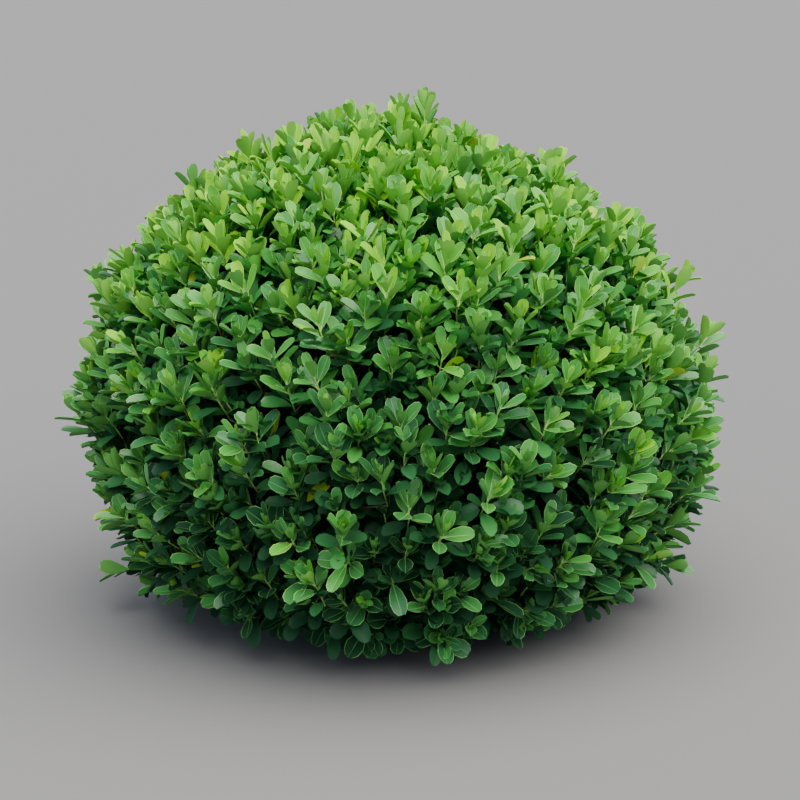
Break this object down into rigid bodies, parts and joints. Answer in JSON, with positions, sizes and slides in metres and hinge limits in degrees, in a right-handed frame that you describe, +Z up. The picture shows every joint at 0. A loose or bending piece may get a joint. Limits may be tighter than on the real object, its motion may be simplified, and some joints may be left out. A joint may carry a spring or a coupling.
{
  "type": "box topiary ball",
  "caption": "Broad clipped ball of small glossy evergreen leaves on a short woody stem with fanned boughs, rooted in level ground; a garden or patio shrub.",
  "frame": {"origin": "middle of the flat cut under the stem, at ground level", "axes": "+Z up along the stem, +X to the right and -Y towards the viewer of the picture"},
  "size_m": [0.5793, 0.5729, 0.4569],
  "materials": {
    "bark": "matt grey-brown bark with fine cracks, greener on the young wood",
    "leaves_top": "satin leaves, light yellow-green at the sunlit top",
    "leaves_upper": "satin leaves, fresh mid green",
    "leaves_lower": "satin leaves, deep green"
  },
  "bodies": {
    "root": {"trunk": "bark", "bough_top": "bark", "bough_upper_1": "bark", "bough_upper_2": "bark", "bough_upper_3": "bark", "bough_upper_4": "bark", "bough_upper_5": "bark", "bough_lower_1": "bark", "bough_lower_2": "bark", "bough_lower_3": "bark", "bough_lower_4": "bark", "bough_lower_5": "bark", "bough_lower_6": "bark", "foliage_top": "leaves_top", "foliage_upper_1": "leaves_upper", "foliage_upper_2": "leaves_upper", "foliage_upper_3": "leaves_upper", "foliage_upper_4": "leaves_upper", "foliage_upper_5": "leaves_upper", "foliage_lower_1": "leaves_lower", "foliage_lower_2": "leaves_lower", "foliage_lower_3": "leaves_lower", "foliage_lower_4": "leaves_lower", "foliage_lower_5": "leaves_lower", "foliage_lower_6": "leaves_lower"}
  },
  "joints": []
}
